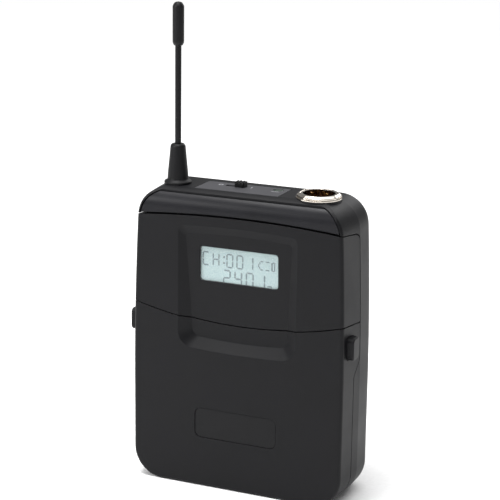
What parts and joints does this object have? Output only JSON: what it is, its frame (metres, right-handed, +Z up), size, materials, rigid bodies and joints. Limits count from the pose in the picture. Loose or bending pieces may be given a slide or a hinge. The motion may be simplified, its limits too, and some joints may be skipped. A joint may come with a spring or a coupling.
{
  "type": "wireless bodypack transmitter",
  "caption": "Belt-worn wireless bodypack transmitter with a display window, hinged battery door, side latches, top switch, microphone jack and whip antenna.",
  "frame": {"origin": "centre of the bounding box in X and Y, on the flat bottom of the case", "axes": "+Z up along the case, display facing -Y, +X to the right as seen from the front"},
  "size_m": [0.0686, 0.0316, 0.1384],
  "materials": {
    "case_plastic": "fine textured black",
    "trim_plastic": "satin black",
    "plate_plastic": "satin dark grey",
    "knob_plastic": "ribbed black",
    "badge_metal": "satin dark anodised",
    "steel": "plain spring steel and pins",
    "black_steel": "black coated",
    "nickel": "bright nickel plate",
    "black_insert": "moulded",
    "gold_pin": "gold plated",
    "antenna_rubber": "matte black",
    "window_clear": "clear polished",
    "lcd_glass": "reflective LCD",
    "board_green": "solder mask",
    "shield_metal": "tinned",
    "tray_plastic": "moulded black",
    "cell_jacket": "printed film over steel",
    "button_rubber": "matte grey",
    "light_lens": "green lens"
  },
  "bodies": {
    "case": {"rear_housing": "case_plastic", "head_trim": "trim_plastic", "front_cover": "case_plastic", "door_hinge_pins": "steel", "top_plate": "plate_plastic", "power_switch": "shield_metal", "status_light": "light_lens", "jack_nut": "nickel", "jack_washer": "nickel", "jack_shell": "nickel", "jack_insert": "black_insert", "jack_pins": "gold_pin", "antenna_boot": "antenna_rubber", "antenna_stud": "nickel", "antenna_whip": "antenna_rubber", "antenna_tip": "antenna_rubber", "display_window": "window_clear", "lcd_panel": "lcd_glass", "lcd_frame": "black_insert", "display_board": "board_green", "main_board": "board_green", "shield_can": "shield_metal", "battery_tray": "tray_plastic", "battery_cell_left": "cell_jacket", "battery_cell_right": "cell_jacket", "contact_leaves": "nickel", "contact_plates": "nickel", "control_board": "board_green", "case_screws": "black_steel", "belt_clip": "black_steel", "clip_screws": "black_steel"},
    "latch_right_body": {"latch_right": "case_plastic"},
    "latch_left_body": {"latch_left": "case_plastic"},
    "power_knob_body": {"power_knob": "knob_plastic"},
    "button_down_body": {"button_down": "button_rubber"},
    "button_up_body": {"button_up": "button_rubber"},
    "button_set_body": {"button_set": "button_rubber"},
    "door": {"battery_door": "case_plastic", "badge_plate": "badge_metal", "latch_springs": "steel"}
  },
  "joints": [
    {"name": "door_hinge", "type": "hinge", "parent": "case", "child": "door", "pos_m": [0, -0.01055, 0.0019], "axis": [1, 0, 0], "range_deg": [0, 90]},
    {"name": "latch_right_slide", "type": "slide", "parent": "door", "child": "latch_right_body", "axis": [-1, 0, 0], "range_m": [0, 0.0012], "stiffness_N_per_m": 1200, "springref_m": -0.0006, "deforming": ["latch_springs"]},
    {"name": "latch_left_slide", "type": "slide", "parent": "door", "child": "latch_left_body", "axis": [1, 0, 0], "range_m": [0, 0.0012], "stiffness_N_per_m": 1200, "springref_m": -0.0006, "deforming": ["latch_springs"]},
    {"name": "power_slide", "type": "slide", "parent": "case", "child": "power_knob_body", "axis": [-1, 0, 0], "range_m": [0, 0.0029]},
    {"name": "button_down_press", "type": "slide", "parent": "case", "child": "button_down_body", "axis": [0, 1, 0], "range_m": [0, 0.0005], "stiffness_N_per_m": 1600, "springref_m": -0.0002},
    {"name": "button_up_press", "type": "slide", "parent": "case", "child": "button_up_body", "axis": [0, 1, 0], "range_m": [0, 0.0005], "stiffness_N_per_m": 1600, "springref_m": -0.0002},
    {"name": "button_set_press", "type": "slide", "parent": "case", "child": "button_set_body", "axis": [0, 1, 0], "range_m": [0, 0.0005], "stiffness_N_per_m": 1600, "springref_m": -0.0002}
  ]
}
